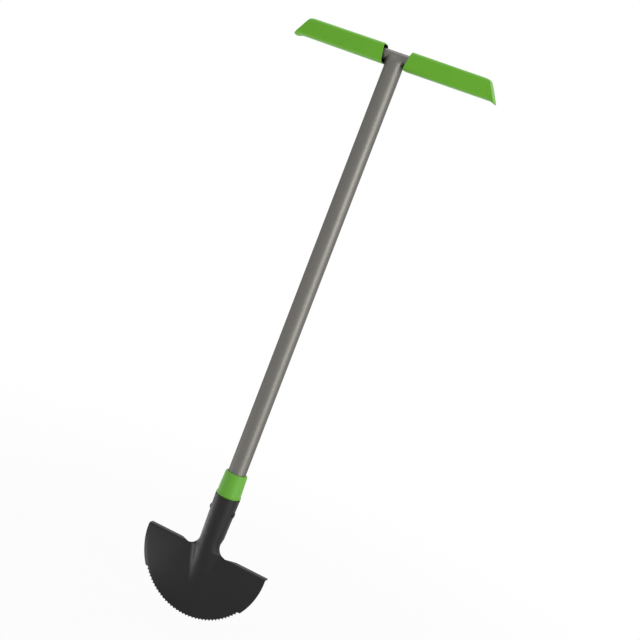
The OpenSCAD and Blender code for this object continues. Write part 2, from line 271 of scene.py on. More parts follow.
@dataclass(frozen=True)
class TubePaint(Finish):
    """Grey enamel with fine metal flake, sprayed on drawn steel tube.

    It gives the eye a warm grey of medium gloss, a fine sparkle of flake and faint streaks
    along the way the tube was drawn.
    """

    flake_colour: str = "#8b8883"
    # Real flake is a tenth of this, too fine to show
    flake_size: float = 0.9
    # Share of the flake's colour in its brightest grains
    flake_share: float = 0.5
    streak_size: float = 2.5
    streak_depth: float = 0.012

    def material(self, run: Run) -> Material:
        """Makes the material for one tube.

        Args:
            run: The way the tube lies.

        Returns:
            The paint.
        """
        material, tree, shader, place = self.start()
        material.name = f"{self.name}_{run.name.lower()}"
        drawn = add_node(tree, "ShaderNodeMapping", {"Vector": place, "Scale": run.value})
        streak = add_node(tree, "ShaderNodeTexNoise", {
            "Vector": drawn.outputs["Vector"], "Scale": per_metre(self.streak_size), "Detail": 3.0})
        flake = add_node(tree, "ShaderNodeTexVoronoi", {
            "Vector": place, "Scale": per_metre(self.flake_size)})
        sparkle = add_node(tree, "ShaderNodeMapRange", {
            "Value": flake.outputs["Color"], "To Min": 0.0, "To Max": self.flake_share})
        both = add_node(tree, "ShaderNodeMath", {
            0: streak.outputs["Fac"], 1: sparkle.outputs["Result"]}, operation="MULTIPLY")
        self.dress(tree, shader, self.flake_colour, both.outputs["Value"], streak.outputs["Fac"],
                   streak.outputs["Fac"], self.streak_depth)
        return material


@dataclass(frozen=True)
class MouldedPlastic(Finish):
    """Coloured polypropylene from a spark-eroded mould.

    It gives the eye an even colour with faint flow clouds and a fine grain that softens the gloss.
    """

    flow_colour: str = "#64a826"
    flow_size: float = 42.0
    # Real grain is about 0.1 mm, too fine to show
    grain_size: float = 0.7
    grain_depth: float = 0.012

    def material(self) -> Material:
        """Makes the material.

        Returns:
            The moulded plastic.
        """
        material, tree, shader, place = self.start()
        flow = add_node(tree, "ShaderNodeTexNoise", {
            "Vector": place, "Scale": per_metre(self.flow_size), "Detail": 2.0, "Distortion": 0.6})
        grain = add_node(tree, "ShaderNodeTexNoise", {
            "Vector": place, "Scale": per_metre(self.grain_size), "Detail": 1.0})
        self.dress(tree, shader, self.flow_colour, flow.outputs["Fac"], grain.outputs["Fac"],
                   grain.outputs["Fac"], self.grain_depth)
        return material


BLACK_COAT = PowderCoat("black_powder_coat_baked", "#181616", roughness=0.44, specular=0.22)
GREY_PAINT = TubePaint(
    "grey_flake_enamel_sprayed", "#6b6964", roughness=0.46, metallic=0.75, edge_tint=0.4)
COLLAR_GREEN = MouldedPlastic(
    "collar_polypropylene_moulded", "#549127", roughness=0.42, specular=0.3, flow_colour="#5e9c2f")
GRIP_GREEN = MouldedPlastic(
    "grip_polypropylene_moulded", "#5ba11e", roughness=0.48, specular=0.3)
# Black painted shade for the ribs and the far end of the bore, so the hollow looks dark inside the
# sleeve's mouth
GRIP_BORE_PAINTED_SHADE = MouldedPlastic(
    "grip_bore_painted_shade", "#0e0f0d", roughness=0.6, specular=0.2,
    flow_colour="#141512")


# Head


@dataclass(frozen=True)
class PressRow:
    """One level of the pressing: a crown arc and a foot arc in one tangent, then flat sheet.

    Where the sheet ends on the foot arc, the arc keeps a slope there.
    """

    level: float
    crown: float = 0.0
    fillet: float = 0.0
    angle: float = 0.0
    slope: float = 0.0
    rise: float = 0.0
    foot: float = 0.0
    edge: float = 0.0

    def point(self, share: float, front: float) -> Vector:
        """Finds a point of the front face.

        Args:
            share: Share of the way from the middle to the edge.
            front: Y of the blade's front face.

        Returns:
            The point on the right half.
        """
        on_crown = self.crown * self.angle
        on_arcs = on_crown + self.fillet * (self.angle - self.slope)
        reach = share * (on_arcs + self.edge - self.foot)
        if self.angle == 0 or reach > on_arcs + WELD_DISTANCE:
            return Vector((self.foot + reach - on_arcs, front, self.level))
        if reach <= on_crown + WELD_DISTANCE:
            a = reach / self.crown
            across, ahead = self.crown * math.sin(a), self.rise - self.crown * (1 - math.cos(a))
        else:
            a = self.angle - (reach - on_crown) / self.fillet
            across = self.foot - self.fillet * (math.sin(a) - math.sin(self.slope))
            ahead = self.fillet * (math.cos(self.slope) - math.cos(a))
        return Vector((across, front - ahead, self.level))


@dataclass
class PressedHead:
    """Half-moon blade, treads, frog and rolled socket, all pressed from one sheet of steel."""

    finish: PowderCoat = BLACK_COAT
    blade_radius: float = 107.0
    tip_radius: float = 105.3
    bevel_width: float = 6.0
    bevel_depth: float = 1.1
    sheet: float = 2.0
    front: float = -3.0
    scallop_count: int = 34
    scallop_span: float = 109.0
    scallop_depth: float = 2.0
    tooth_tip: float = 0.8
    # Degrees from the lowest point to where the bevel starts to fade, and degrees that takes
    bevel_fade: tuple[float, float] = (70.0, 16.0)
    tread_rise: float = 6.0
    bend_radius: float = 3.0
    tread_back: float = 9.0
    tread_gap: float = 99.0
    tread_corner: float = 4.0
    mouth_radius: float = 20.5
    root_radius: float = 18.6
    socket_length: float = 76.0
    neck_fillet: float = 18.0
    frog_length: float = 83.0
    frog_foot: float = 11.0
    frog_slopes: tuple[float, float] = (0.08, 0.024)
    crown_share: float = 0.62
    panel_half: float = 30.5
    # Power by which the flank at the sheet's edge steepens up the neck
    flare: float = 0.75
    panel_margin: float = 2.0
    roll_length: float = 30.0
    seam_gap: float = 2.0
    edge_round: float = 0.35
    # Angles in degrees past which an edge of the sheet is sheared, and the bevel's line is sharp
    shear_angle: float = 60.0
    bevel_line: float = 2.0
    # Width beside the ground line that counts as the rim
    rim_margin: float = 0.5
    # Steps round one scallop, along the plain edge and round the neck's fillet
    scallop_steps: int = 10
    edge_steps: int = 44
    fillet_steps: int = 4
    # Cells from the middle of the pressing to its edge, and rows of its four stretches
    cells: int = 48
    fold_cells: int = 24
    curl_rows: int = 8
    rows: tuple[int, int, int, int] = (30, 12, 18, 6)

    def __post_init__(self) -> None:
        """Works out the levels that the other sizes give."""
        self.centre = self.tip_radius
        self.tread_top = self.centre + self.tread_rise
        self.bend = self.tread_top - self.bend_radius
        self.neck = self.tread_top + self.neck_fillet
        self.mouth = self.neck + self.socket_length
        self.rolled = self.neck + self.roll_length
        self.frog_low = self.neck - self.frog_length
        self.panel_low = self.frog_low - self.panel_margin
        self.ground = self.blade_radius - self.bevel_width
        root_half = math.sqrt(self.root_radius ** 2 - self.front ** 2)
        self.root_angle = math.atan2(root_half, -self.front)
        self.neck_x = root_half + self.neck_fillet
        self.tread_run = (self.tread_gap / 2 - self.neck_x) / self.tread_back
        self.fold_x = self.neck_x + self.front * self.tread_run
        self.panel_high = self.neck - math.sqrt(
            self.neck_fillet ** 2 - (self.neck_x - self.panel_half) ** 2)

    def radius(self, place: Vector) -> float:
        """Returns how far a place is from the centre of the half moon."""
        return math.hypot(place.x, place.z - self.centre)

    def frog_rise(self, level: float) -> float:
        """Works out how far the frog's front line stands ahead of the blade.

        Args:
            level: Height on the frog.

        Returns:
            The distance.
        """
        t = (level - self.frog_low) / self.frog_length
        rise = ease(t) * (self.root_radius + self.front)
        start = t * (1 - t) ** 2 * self.frog_slopes[0]
        return rise + (start - t * t * (1 - t) * self.frog_slopes[1]) * self.frog_length

    def ridge_row(self, level: float, foot: float, edge: float, share: float,
                  slope: float = 0.0) -> PressRow:
        """Makes a row of the frog or the neck.

        Args:
            level: Height of the row.
            foot: Half width at which the ridge meets the sheet.
            edge: Half width at which the row ends.
            share: Share of the double curve that is the crown.
            slope: Angle that is left at the foot.

        Returns:
            The row.
        """
        rise = self.frog_rise(level)
        cut = (1 - share) * (foot * (1 - math.cos(slope)) - rise * math.sin(slope))
        angle = math.atan2(rise, foot) + math.acos((foot - cut) / math.hypot(foot, rise))
        both = foot / (math.sin(angle) - (1 - share) * math.sin(slope))
        return PressRow(level, share * both, (1 - share) * both, angle, slope, rise, foot, edge)

    def tube_row(self, level: float, t: float) -> PressRow:
        """Makes a row of the rolled socket.

        Args:
            level: Height of the row.
            t: How far the wings have closed, from 0 to 1.

        Returns:
            The row.
        """
        radius = mix(self.root_radius, self.mouth_radius, (level - self.neck) / self.socket_length)
        closed = math.pi - math.asin(self.seam_gap / 2 / radius)
        angle = mix(self.root_angle, closed, ease(t))
        return PressRow(level, radius, 0.0, angle, 0.0, radius + self.front)

    def press_rows(self) -> list[PressRow]:
        """Lists the rows of the pressing.

        Returns:
            The rows, from the panel's foot to the socket's mouth.
        """
        frog, neck, roll, straight = self.rows
        rows = [PressRow(z, edge=self.panel_half) for z in (self.panel_low, self.frog_low)]
        for i in range(1, frog + 1):
            t = i / frog
            rows.append(self.ridge_row(mix(self.frog_low, self.panel_high, t),
                                       mix(self.frog_foot, self.panel_half, t),
                                       self.panel_half, self.crown_share))
        for i in range(1, neck + 1):
            level = mix(self.panel_high, self.neck, i / neck)
            half = self.neck_x - math.sqrt(self.neck_fillet ** 2 - (self.neck - level) ** 2)
            rows.append(self.ridge_row(level, half, half, mix(self.crown_share, 1.0, i / neck),
                                       self.root_angle * (i / neck) ** self.flare))
        for i in range(1, roll + 1):
            rows.append(self.tube_row(mix(self.neck, self.rolled, i / roll), i / roll))
        for i in range(1, straight + 1):
            rows.append(self.tube_row(mix(self.rolled, self.mouth, i / straight), 1.0))
        return rows

    def grind_rim(self, bm: BMesh) -> None:
        """Makes the right half of the cutting edge, toothed and plain, with its ground bevel.

        Args:
            bm: The empty mesh that gets it.
        """
        step = math.radians(self.scallop_span) / self.scallop_count
        chord = self.tip_radius * step - self.tooth_tip
        bite = ((chord / 2) ** 2 + self.scallop_depth ** 2) / (2 * self.scallop_depth)
        hub = Vector((0, self.front, self.centre))
        low = Vector((0, self.front, self.centre - self.tip_radius))
        # One scallop is turned about its own centre, and its tip is drawn to the next scallop
        first = bm.verts.new(low - Vector((chord / 2, 0, 0)))
        sunk = bite - self.scallop_depth
        arc = bmesh.ops.spin(bm, geom=[first], cent=low - Vector((0, 0, sunk)), axis=(0, 1, 0),
                             angle=2 * math.atan2(chord / 2, sunk), steps=self.scallop_steps)
        last = [g for g in arc["geom_last"] if isinstance(g, BMVert)]
        tip = bmesh.ops.extrude_vert_indiv(bm, verts=last)["verts"][0]
        turn = Matrix.Rotation(-step, 3, "Y")
        tip.co = hub + turn @ (first.co - hub)
        bmesh.ops.rotate(bm, cent=hub, matrix=Matrix.Rotation(-step / 2, 3, "Y"), verts=bm.verts)
        # The scallop is repeated from the lowest point to the end of the toothed stretch
        half = self.scallop_count // 2
        bmesh.ops.spin(bm, geom=bm.verts[:] + bm.edges[:], cent=hub, axis=(0, 1, 0),
                       angle=-step * (half - 1), steps=half - 1, use_duplicate=True)
        bmesh.ops.remove_doubles(bm, verts=bm.verts, dist=NEAR)
        start = min(bm.verts, key=lambda v: v.co.x)
        end = max(bm.verts, key=lambda v: v.co.x)
        bmesh.ops.extrude_vert_indiv(bm, verts=[start])["verts"][0].co = low
        # A short ramp leads out to the plain edge, which runs up to the tread
        ramp = bmesh.ops.extrude_vert_indiv(bm, verts=[end])["verts"][0]
        out = Matrix.Rotation(-self.tooth_tip / 2 / self.tip_radius, 3, "Y") @ (end.co - hub)
        ramp.co = hub + out * (self.blade_radius / self.tip_radius)
        reach = math.atan2(ramp.co.x, self.centre - ramp.co.z)
        top = math.pi / 2 + math.asin((self.bend - self.centre) / self.blade_radius)
        bmesh.ops.spin(bm, geom=[ramp], cent=hub, axis=(0, 1, 0), angle=reach - top,
                       steps=self.edge_steps)
        # The bevel is drawn from the edge in to the ground line, and fades out below the tread
        rim = bm.verts[:]
        drawn = bmesh.ops.extrude_edge_only(bm, edges=bm.edges[:])["geom"]
        ring = [g for g in drawn if isinstance(g, BMVert)]
        for v in ring:
            v.co = hub + (v.co - hub).normalized() * self.ground
        max(ring, key=lambda v: v.co.z).co.z = self.bend
        fade_start, fade_span = self.bevel_fade
        for v in rim:
            radius = (v.co - hub).length
            past = math.degrees(math.atan2(v.co.x, self.centre - v.co.z)) - fade_start
            fade = 1 - ease(past / fade_span)
            v.co.y += self.bevel_depth * fade * (radius - self.ground) / self.bevel_width

    def fillet_level(self, x: float) -> float:
        """Returns the height of the sheet's edge at x, along the neck's fillet or the tread."""
        return self.neck - math.sqrt(self.neck_fillet ** 2 - min(x - self.neck_x, 0.0) ** 2)

    def draw_outline(self, bm: BMesh) -> None:
        """Draws the plate's top line, the neck's fillet and the line down the middle.

        Args:
            bm: The mesh with the rim.
        """
        ring = [v for v in bm.verts if abs(v.co.y - self.front) < WELD_DISTANCE
                and self.radius(v.co) < self.ground + SLACK]
        low, tip = min(ring, key=lambda v: v.co.x), max(ring, key=lambda v: v.co.z)
        middle = bmesh.ops.extrude_vert_indiv(bm, verts=[low])["verts"][0]
        middle.co = (0, self.front, self.panel_low)
        stops = [(self.tread_gap / 2, self.bend), (self.fold_x, self.bend),
                 (self.fold_x, self.fillet_level(self.fold_x))]
        for x, level in stops:
            tip = bmesh.ops.extrude_vert_indiv(bm, verts=[tip])["verts"][0]
            tip.co = (x, self.front, level)
        near, far = (math.asin((self.neck_x - x) / self.neck_fillet)
                     for x in (self.fold_x, self.panel_half))
        bmesh.ops.spin(bm, geom=[tip], cent=(self.neck_x, self.front, self.neck), axis=(0, 1, 0),
                       angle=far - near, steps=self.fillet_steps)
        slant = [e for e in bm.edges if e.is_wire and all(
            abs(v.co.z - self.bend) < WELD_DISTANCE and v.co.x < self.tread_gap / 2 + NEAR
            for v in e.verts)]
        upright = [e for e in bm.edges if e.is_wire and all(
            abs(v.co.x - self.fold_x) < WELD_DISTANCE for v in e.verts)]
        bmesh.ops.subdivide_edges(bm, edges=slant, cuts=self.fold_cells - 1)
        bmesh.ops.subdivide_edges(bm, edges=upright, cuts=self.curl_rows - 1)

    def press_panel(self, bm: BMesh) -> None:
        """Presses a flat grid into the right half of the frog and the socket.

        Args:
            bm: The mesh that gets it.
        """
        rows = self.press_rows()
        last = len(rows) - 1
        # The grid is one unit wide about its middle, so half a unit makes its places shares
        grid = bmesh.ops.create_grid(bm, x_segments=self.cells, y_segments=last, size=0.5)
        for v in grid["verts"]:
            v.co = rows[round((v.co.y + 0.5) * last)].point(v.co.x + 0.5, self.front)

    def in_plate(self, edge: BMEdge) -> bool:
        """Tells whether an edge bounds the flat plate.

        Args:
            edge: An edge of the right half.

        Returns:
            True for the plate's own edges.
        """
        if edge.is_wire:
            return True
        flat = all(abs(v.co.y - self.front) < WELD_DISTANCE for v in edge.verts)
        inside = all(self.radius(v.co) < self.ground + SLACK for v in edge.verts)
        low = all(v.co.z < self.panel_high + WELD_DISTANCE for v in edge.verts)
        aside = any(v.co.x > WELD_DISTANCE for v in edge.verts)
        return edge.is_boundary and flat and inside and low and aside

    def curl(self, x: float, share: float) -> Vector:
        """Finds a point of the bend between the plate and the tread.

        Args:
            x: Place along the tread. Towards the neck the bend opens out into the plate.
            share: Share of the way round the bend.

        Returns:
            The point of the front face.
        """
        rise = self.fillet_level(x) - self.bend
        back = min((x - self.fold_x) / self.tread_run, rise)
        if back < WELD_DISTANCE:
            return Vector((x, self.front, self.bend + share * rise))
        radius = (back ** 2 + rise ** 2) / (2 * back)
        turn = share * 2 * math.atan2(back, rise)
        return Vector((x, self.front + radius * (1 - math.cos(turn)),
                       self.bend + radius * math.sin(turn)))

    def fold_tread(self, bm: BMesh) -> None:
        """Folds the right tread back from the plate's top line.

        Args:
            bm: The mesh of the flat right half.
        """
        line = [e for e in bm.edges if e.is_boundary and all(
            abs(v.co.z - self.bend) < NEAR and v.co.x > self.fold_x - NEAR for v in e.verts)]
        for row in range(1, self.curl_rows + 1):
            made = bmesh.ops.extrude_edge_only(bm, edges=line)["geom"]
            line = [g for g in made if isinstance(g, BMEdge) and g.is_boundary
                    and all(v in made for v in g.verts)]
            for v in (g for g in made if isinstance(g, BMVert)):
                v.co = self.curl(v.co.x, row / self.curl_rows)
        # The flange runs back to the tread's rear edge, and its inner end is cut on a slant
        flat = [e for e in line if all(v.co.x > self.neck_x - NEAR for v in e.verts)]
        made = bmesh.ops.extrude_edge_only(bm, edges=flat)["geom"]
        for v in (g for g in made if isinstance(g, BMVert)):
            v.co.y = max(v.co.y, min(self.tread_back, (v.co.x - self.neck_x) / self.tread_run))
        bmesh.ops.remove_doubles(bm, verts=bm.verts, dist=NEAR)
        corner = max(bm.verts, key=lambda v: v.co.y + v.co.x / self.blade_radius)
        bmesh.ops.bevel(bm, geom=[corner], offset=self.tread_corner, offset_type="OFFSET",
                        segments=8, profile=0.5, affect="VERTICES", material=-1)

    def give_thickness(self, bm: BMesh) -> None:
        """Thickens the sheet and flattens the back of the ground edge.

        Args:
            bm: The mesh of the whole front face.
        """
        bmesh.ops.remove_doubles(bm, verts=bm.verts, dist=WELD_DISTANCE)
        bmesh.ops.recalc_face_normals(bm, faces=bm.faces)
        plate = max(bm.faces, key=lambda f: f.calc_area())
        if plate.normal.y > 0:
            bmesh.ops.reverse_faces(bm, faces=bm.faces[:])
        fronts = set(bm.verts)
        bmesh.ops.solidify(bm, geom=bm.faces[:], thickness=self.sheet)
        for v in bm.verts:
            on_rim = self.radius(v.co) > self.ground - self.rim_margin
            if v not in fronts and on_rim and v.co.z < self.bend - 2 * self.rim_margin:
                v.co.y = self.front + self.sheet

    def is_sheared(self, edge: BMEdge) -> bool:
        """Tells whether an edge is a sheared corner of the sheet.

        Args:
            edge: An edge of the thick sheet.

        Returns:
            True for a sheared corner, and not for the ground cutting edge.
        """
        middle = (edge.verts[0].co + edge.verts[1].co) / 2
        on_rim = (self.radius(middle) > self.ground - 2 * self.rim_margin
                  and middle.z < self.bend + NEAR)
        return not on_rim and edge.calc_face_angle(0.0) > math.radians(self.shear_angle)

    def round_edges(self, bm: BMesh) -> None:
        """Rounds the sheared edges of the sheet.

        Args:
            bm: The mesh of the thick sheet.
        """
        sheared = [e for e in bm.edges if self.is_sheared(e)]
        bmesh.ops.bevel(bm, geom=sheared, offset=self.edge_round, offset_type="OFFSET", segments=2,
                        profile=0.5, affect="EDGES", material=-1, clamp_overlap=True)

    def build(self) -> Object:
        """Presses, folds, rolls and grinds the head.

        Returns:
            The piece.
        """
        bm = bmesh.new()
        self.grind_rim(bm)
        self.draw_outline(bm)
        self.press_panel(bm)
        bmesh.ops.remove_doubles(bm, verts=bm.verts, dist=WELD_DISTANCE)
        bmesh.ops.contextual_create(bm, geom=[e for e in bm.edges if self.in_plate(e)])
        self.fold_tread(bm)
        bmesh.ops.mirror(bm, geom=bm.verts[:] + bm.edges[:] + bm.faces[:],
                         matrix=Matrix.Identity(4), merge_dist=WELD_DISTANCE, axis="X")
        self.give_thickness(bm)
        for e in bm.edges:
            if all(v.co.y < self.front + SLACK and abs(self.radius(v.co) - self.ground) < SLACK
                   for v in e.verts):
                e.smooth = e.calc_face_angle(0.0) < math.radians(self.bevel_line)
        self.round_edges(bm)
        piece = make_piece(bm, "pressed_head", [self.finish.material()])
        seat(piece, "blade_head")
        return piece


# Collar


@dataclass
class Collar:
    """Moulded ferrule over the socket's mouth, with the spigot that packs the shaft."""

    finish: MouldedPlastic = COLLAR_GREEN
    mouth: float = 205.3
    height: float = 40.0
    spigot: float = 45.0
    bore: float = 14.6
    spigot_radii: tuple[float, float] = (17.21, 18.35)
    lip_radius: float = 20.5
    lip_height: float = 3.6
    base_radius: float = 19.5
    top_radius: float = 18.1
    top_round: float = 2.9
    small_round: float = 0.6
    lip_fillet: float = 0.4
    groove: float = 0.8
    shadow_gap: float = 1.4
    round_steps: int = 6
    steps: int = 96

    def build(self) -> Object:
        """Turns the collar from its section.

        Returns:
            The piece.
        """
        bm = bmesh.new()
        foot, top = self.mouth - self.spigot, self.mouth + self.height
        rest, lip = self.mouth + self.shadow_gap, self.mouth + self.lip_height
        # Radius, height and rounding of each corner of the section
        section = [(self.bore, foot, 0.0), (self.spigot_radii[0], foot, 0.0),
                   (self.spigot_radii[1], self.mouth, 0.0), (self.spigot_radii[1], rest, 0.0),
                   (self.lip_radius, rest, self.groove),
                   (self.lip_radius, lip, self.small_round),
                   (self.base_radius, lip, self.lip_fillet),
                   (self.top_radius, top, self.top_round), (self.bore, top, self.small_round)]
        corners = [(bm.verts.new((radius, 0, z)), rounding) for radius, z, rounding in section]
        for (a, _), (b, _) in zip(corners, corners[1:] + corners[:1]):
            bm.edges.new((a, b))
        for corner, rounding in corners:
            if rounding:
                bmesh.ops.bevel(bm, geom=[corner], offset=rounding, offset_type="OFFSET",
                                segments=self.round_steps, profile=0.5, affect="VERTICES",
                                material=-1)
        bmesh.ops.spin(bm, geom=bm.verts[:] + bm.edges[:], cent=(0, 0, 0), axis=(0, 0, 1),
                       angle=2 * math.pi, steps=self.steps, use_merge=True)
        bmesh.ops.remove_doubles(bm, verts=bm.verts, dist=WELD_DISTANCE)
        bmesh.ops.recalc_face_normals(bm, faces=bm.faces)
        piece = make_piece(bm, "socket_collar", [self.finish.material()])
        seat(piece, "collar")
        return piece


# Handle


class Side(Enum):
    """Which end of the handle a grip is on, as the sign of its X."""

    LEFT = -1
    RIGHT = 1


@dataclass
class Grip:
    """Moulded sleeve with a slanted closed end, an open mouth and ribs on the cross tube."""

    side: Side
    finish: MouldedPlastic = GRIP_GREEN
    # Second slot: black painted shade for the inside of the bore
    bore_shade: MouldedPlastic = GRIP_BORE_PAINTED_SHADE
    axis: float = 929.6
    start: float = 20.5
    end: float = 156.8
    height: float = 29.6
    depth: float = 26.0
    corner: float = 6.5
    corner_steps: int = 10
    wall: float = 1.6
    taper: float = 0.4
    outer_slant: float = 31.0
    inner_slant: float = 10.5
    lip_drop: float = 2.6
    crest_drop: float = 0.9
    lip_length: float = 9.0
    lip_steps: int = 8
    edge_round: float = 1.6
    rim_round: float = 0.3
    # Angle in degrees past which an edge of the mouth is rounded
    rim_angle: float = 50.0
    hollow: float = 122.0
    mouth_depth: float = 12.0
    rib: float = 2.0
    tube_radius: float = 8.85

    def draw_out(self, bm: BMesh, face: BMFace, length: float) -> BMFace:
        """Extrudes a face along the handle.

        Args:
            bm: The mesh.
            face: The face, which stays where it is.
            length: How far the copy goes.

        Returns:
            The copy of the face.
        """
        made = bmesh.ops.extrude_face_region(bm, geom=[face])["geom"]
        drawn = next(g for g in made if isinstance(g, BMFace))
        bmesh.ops.translate(bm, vec=(length, 0, 0), verts=drawn.verts)
        return drawn

    def mould(self, bm: BMesh) -> None:
        """Extrudes the rounded section along the handle and hollows it from the inner end.

        Args:
            bm: The empty mesh that gets the straight sleeve.
        """
        bmesh.ops.create_grid(bm, x_segments=1, y_segments=1, size=0.5)
        bmesh.ops.scale(bm, vec=(self.height, self.depth, 1), verts=bm.verts)
        bmesh.ops.rotate(bm, cent=(0, 0, 0), matrix=Matrix.Rotation(-math.pi / 2, 3, "Y"),
                         verts=bm.verts)
        bmesh.ops.bevel(bm, geom=bm.verts[:], offset=self.corner, offset_type="OFFSET",
                        segments=self.corner_steps, profile=0.5, affect="VERTICES", material=-1)
        bmesh.ops.translate(bm, vec=(self.start, 0, 0), verts=bm.verts)
        inner = bm.faces[:][0]
        lip = self.end - self.lip_length
        outer = self.draw_out(bm, inner, lip - self.start)
        for _ in range(self.lip_steps):
            reached = outer
            outer = self.draw_out(bm, reached, self.lip_length / self.lip_steps)
            bmesh.ops.delete(bm, geom=[reached], context="FACES_ONLY")
        bmesh.ops.inset_individual(bm, faces=[inner], thickness=self.wall, use_even_offset=True)
        floor = self.draw_out(bm, inner, self.hollow)
        bmesh.ops.delete(bm, geom=[inner], context="FACES_ONLY")
        # The bore's floor and the walls beside it get the second slot, black painted shade
        for face in {f for v in floor.verts for f in v.link_faces}:
            face.material_index = 1
        bmesh.ops.recalc_face_normals(bm, faces=bm.faces)

    def slant(self, bm: BMesh) -> None:
        """Leans both ends, tapers the sleeve and draws its lip and top down at the outer end.

        Args:
            bm: The mesh of the straight sleeve.
        """
        inner = math.tan(math.radians(self.inner_slant))
        outer = -math.tan(math.radians(self.outer_slant))
        lip = self.end - self.lip_length
        for v in bm.verts:
            along = min(max((v.co.x - self.start) / (lip - self.start), 0.0), 1.0)
            t = max(v.co.x - lip, 0.0) / self.lip_length
            if v.co.z > 0:
                v.co.z -= self.taper * along + self.crest_drop * t * t
            else:
                v.co.z += self.taper * along - self.lip_drop * ease(t)
            v.co.x += v.co.z * mix(inner, outer, along)

    def round_ends(self, bm: BMesh) -> None:
        """Rounds the underside of the lip and the edges of the mouth.

        Args:
            bm: The mesh of the slanted sleeve.
        """
        # The face that reaches furthest out is the lip's underside; the cap's other edges stay sharp
        underside = max(bm.faces, key=lambda f: f.calc_center_median().x)
        bmesh.ops.bevel(bm, geom=underside.edges[:], offset=self.edge_round, offset_type="OFFSET",
                        segments=4, profile=0.5, affect="EDGES", material=-1)
        rim = [e for e in bm.edges if e.calc_face_angle(0.0) > math.radians(self.rim_angle)
               and all(v.co.x < self.start + self.mouth_depth for v in e.verts)]
        bmesh.ops.bevel(bm, geom=rim, offset=self.rim_round, offset_type="OFFSET", segments=3,
                        profile=0.5, affect="EDGES", material=-1)

    def add_ribs(self, bm: BMesh) -> None:
        """Adds the four ribs that hold the cross tube.

        Args:
            bm: The mesh of the sleeve.
        """
        length = self.hollow - self.mouth_depth
        for turn in range(4):
            half = (self.depth if turn % 2 == 0 else self.height) / 2 - self.wall / 2
            bar = bmesh.ops.create_cube(bm, size=1.0)["verts"]
            # The ribs get the second slot, black painted shade inside the bore
            for face in {f for v in bar for f in v.link_faces}:
                face.material_index = 1
            bmesh.ops.scale(bm, vec=(length, half - self.tube_radius, self.rib), verts=bar)
            bmesh.ops.translate(bm, vec=(self.start + self.mouth_depth + length / 2,
                                         (half + self.tube_radius) / 2, 0), verts=bar)
            bmesh.ops.rotate(bm, cent=(0, 0, 0), matrix=Matrix.Rotation(turn * math.pi / 2, 3, "X"),
                             verts=bar)

    def build(self) -> Object:
        """Moulds the grip for its side.

        Returns:
            The piece.
        """
        bm = bmesh.new()
        self.mould(bm)
        self.slant(bm)
        self.round_ends(bm)
        self.add_ribs(bm)
        bmesh.ops.scale(bm, vec=(self.side.value, 1, 1), verts=bm.verts)
        bmesh.ops.translate(bm, vec=(0, 0, self.axis), verts=bm.verts)
        bmesh.ops.recalc_face_normals(bm, faces=bm.faces)
        side = self.side.name.lower()
        # The second finish is black painted shade for the inside of the bore
        piece = make_piece(bm, f"{side}_sleeve", [self.finish.material(), self.bore_shade.material()])
        seat(piece, f"{side}_grip")
        return piece


@dataclass
class HandleWeld:
    """Weld between the shaft's end and the cross tube, painted over with the tubes.

    On the front and the back it leans in from the shaft to the thinner tube. At the sides it is a
    hollow fillet that runs out under the tube.
    """

    finish: TubePaint = GREY_PAINT
    axis: float = 929.6
    tube_radius: float = 8.75
    shaft_radius: float = 14.5
    shaft_top: float = 920.75
    front_drop: float = 3.2
    side_drop: float = 6.2
    wing: float = 19.4
    # Angle from the tube's underside up to the weld's upper edge on its front and back
    climb: float = 119.0
    # Power by which the front and the back give way to the sides
    front_power: float = 1.5
    # Share of the front's height along the shaft's rim, and how softly it leaves the rim
    rim_share: float = 0.22
    knee: float = 0.12
    lap: float = 0.7
    # Power that puts the thickest place of the weld nearer to the shaft
    lap_power: float = 0.6
    bury: float = 0.2
    ripples: int = 34
    ripple_height: float = 0.02
    ripple_lean: float = 5.0
    sharp: float = 50.0
    segments: int = 192
    rows: int = 14

    def surface(self, turn: float, t: float) -> Vector:
        """Finds a point of the weld's face.

        Args:
            turn: Angle round the shaft.
            t: Share of the way up from the shaft to the cross tube.

        Returns:
            The point.
        """
        ahead = abs(math.sin(turn)) ** self.front_power
        toe = self.shaft_radius - self.bury
        low = self.shaft_top - mix(self.side_drop, self.front_drop, ahead)
        up_tube = math.radians(self.climb) * ahead
        seat_radius = self.tube_radius - self.bury
        across = math.copysign(seat_radius * math.sin(up_tube), math.sin(turn))
        high = self.axis - seat_radius * math.cos(up_tube)
        # The sides are a quarter hollow; the front keeps to the shaft's rim and then runs straight
        quarter = t * math.pi / 2
        past = max(t - self.rim_share, 0.0) / (1 - self.rim_share)
        straight = past * past * (1 + self.knee) / (past + self.knee)
        inward = mix(1 - math.cos(quarter), straight, ahead)
        upward = mix(math.sin(quarter), t, ahead)
        ripple = math.sin(self.ripples * turn + self.ripple_lean * t) * math.sin(math.pi * t)
        swell = self.lap * math.sin(math.pi * t ** self.lap_power) + self.ripple_height * ripple
        return Vector(((mix(toe, self.wing, inward) + swell) * math.cos(turn),
                       mix(toe * math.sin(turn), across, inward) + swell * math.sin(turn),
                       mix(low, high, upward)))

    def build(self) -> Object:
        """Draws the weld up from the shaft, row by row, and closes it inside both tubes.

        Returns:
            The piece.
        """
        bm = bmesh.new()
        bmesh.ops.create_circle(bm, segments=self.segments, radius=1.0)
        line = first = bm.edges[:]
        rows = [bm.verts[:]]
        for _ in range(self.rows):
            made = bmesh.ops.extrude_edge_only(bm, edges=line)["geom"]
            line = [g for g in made if isinstance(g, BMEdge) and g.is_boundary]
            rows.append([g for g in made if isinstance(g, BMVert)])
        for i, row in enumerate(rows):
            for v in row:
                v.co = self.surface(math.atan2(v.co.y, v.co.x), i / self.rows)
        bmesh.ops.contextual_create(bm, geom=line)
        bmesh.ops.contextual_create(bm, geom=first)
        bmesh.ops.recalc_face_normals(bm, faces=bm.faces)
        piece = make_piece(bm, "handle_weld_bead", [self.finish.material(Run.UPRIGHT)], self.sharp)
        seat(piece, "handle_weld")
        return piece


# Studio


